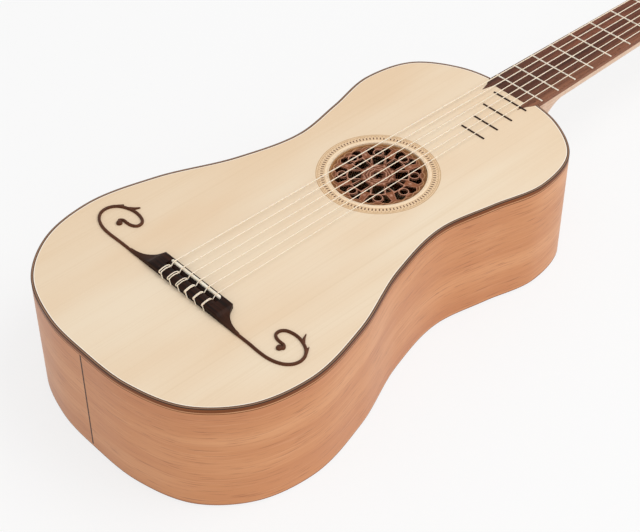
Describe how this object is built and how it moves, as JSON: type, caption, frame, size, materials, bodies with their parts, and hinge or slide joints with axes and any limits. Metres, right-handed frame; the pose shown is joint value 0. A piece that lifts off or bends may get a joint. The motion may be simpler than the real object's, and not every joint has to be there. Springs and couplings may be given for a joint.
{
  "type": "baroque guitar",
  "caption": "Flat-backed baroque guitar with narrow waist, carved rose, scrolled bridge, fretted neck and pegboard with turning friction pegs.",
  "frame": {"origin": "bottom centre of the bounding box: on the plane of the flat back's outside, midway along the guitar and on its centre line", "axes": "+X across to the treble side, +Y along the guitar from the tail to the head, +Z out of the soundboard"},
  "size_m": [0.2508, 0.9326, 0.1062],
  "materials": {
    "spruce": "fine-grained pale spruce, thin varnish",
    "rib_wood": "warm orange-brown fruitwood, polished",
    "neck_wood": "pale maple, satin varnish",
    "rosewood": "dark red-brown rosewood, oiled",
    "ebony": "near-black ebony, polished",
    "binding_wood": "brown wood, polished",
    "scroll_wood": "dark brown wood, waxed",
    "rose_wood": "brown wood, unvarnished",
    "ring_wood": "pale wood inlay",
    "bone": "cream bone, polished",
    "gut": "cream string, satin",
    "fret": "cream bone bars, polished",
    "lining_wood": "bare softwood",
    "peg_wood": "dark brown wood, polished"
  },
  "bodies": {
    "guitar": {"soundboard": "spruce", "rosette_ring": "ring_wood", "rose": "rose_wood", "back": "rib_wood", "rib_bass": "rib_wood", "rib_treble": "rib_wood", "tail_strip": "ebony", "binding_top": "binding_wood", "binding_back": "binding_wood", "lining_top_bass": "lining_wood", "lining_top_treble": "lining_wood", "lining_back_bass": "lining_wood", "lining_back_treble": "lining_wood", "neck_block": "lining_wood", "tail_block": "lining_wood", "top_brace_upper": "lining_wood", "top_brace_lower": "lining_wood", "back_brace_upper": "lining_wood", "back_brace_lower": "lining_wood", "bridge": "ebony", "saddle": "bone", "scroll_bass": "scroll_wood", "scroll_treble": "scroll_wood", "neck": "neck_wood", "head": "rosewood", "fingerboard": "rosewood", "nut": "bone", "fret_01": "fret", "fret_02": "fret", "fret_03": "fret", "fret_04": "fret", "fret_05": "fret", "fret_06": "fret", "fret_07": "fret", "fret_08": "fret", "fret_09": "fret", "fret_10": "fret", "fret_11": "fret", "fret_12": "ebony", "fret_13": "ebony", "fret_14": "ebony", "fret_15": "ebony", "string_1": "gut", "string_2": "gut", "string_3": "gut", "string_4": "gut", "string_5": "gut", "string_6": "gut"},
    "peg_1": {"peg_1": "peg_wood", "winding_1": "gut"},
    "peg_2": {"peg_2": "peg_wood", "winding_2": "gut"},
    "peg_3": {"peg_3": "peg_wood", "winding_3": "gut"},
    "peg_4": {"peg_4": "peg_wood", "winding_4": "gut"},
    "peg_5": {"peg_5": "peg_wood", "winding_5": "gut"},
    "peg_6": {"peg_6": "peg_wood", "winding_6": "gut"}
  },
  "joints": [
    {"name": "peg_1_turn", "type": "hinge", "parent": "guitar", "child": "peg_1", "pos_m": [0.019, 0.32742, 0.09038], "axis": [0, 0.2079, 0.9781], "continuous": true},
    {"name": "peg_2_turn", "type": "hinge", "parent": "guitar", "child": "peg_2", "pos_m": [0.0185, 0.3685, 0.08165], "axis": [0, 0.2079, 0.9781], "continuous": true},
    {"name": "peg_3_turn", "type": "hinge", "parent": "guitar", "child": "peg_3", "pos_m": [0.018, 0.40958, 0.07292], "axis": [0, 0.2079, 0.9781], "continuous": true},
    {"name": "peg_4_turn", "type": "hinge", "parent": "guitar", "child": "peg_4", "pos_m": [-0.018, 0.40958, 0.07292], "axis": [0, 0.2079, 0.9781], "continuous": true},
    {"name": "peg_5_turn", "type": "hinge", "parent": "guitar", "child": "peg_5", "pos_m": [-0.0185, 0.3685, 0.08165], "axis": [0, 0.2079, 0.9781], "continuous": true},
    {"name": "peg_6_turn", "type": "hinge", "parent": "guitar", "child": "peg_6", "pos_m": [-0.019, 0.32742, 0.09038], "axis": [0, 0.2079, 0.9781], "continuous": true}
  ]
}
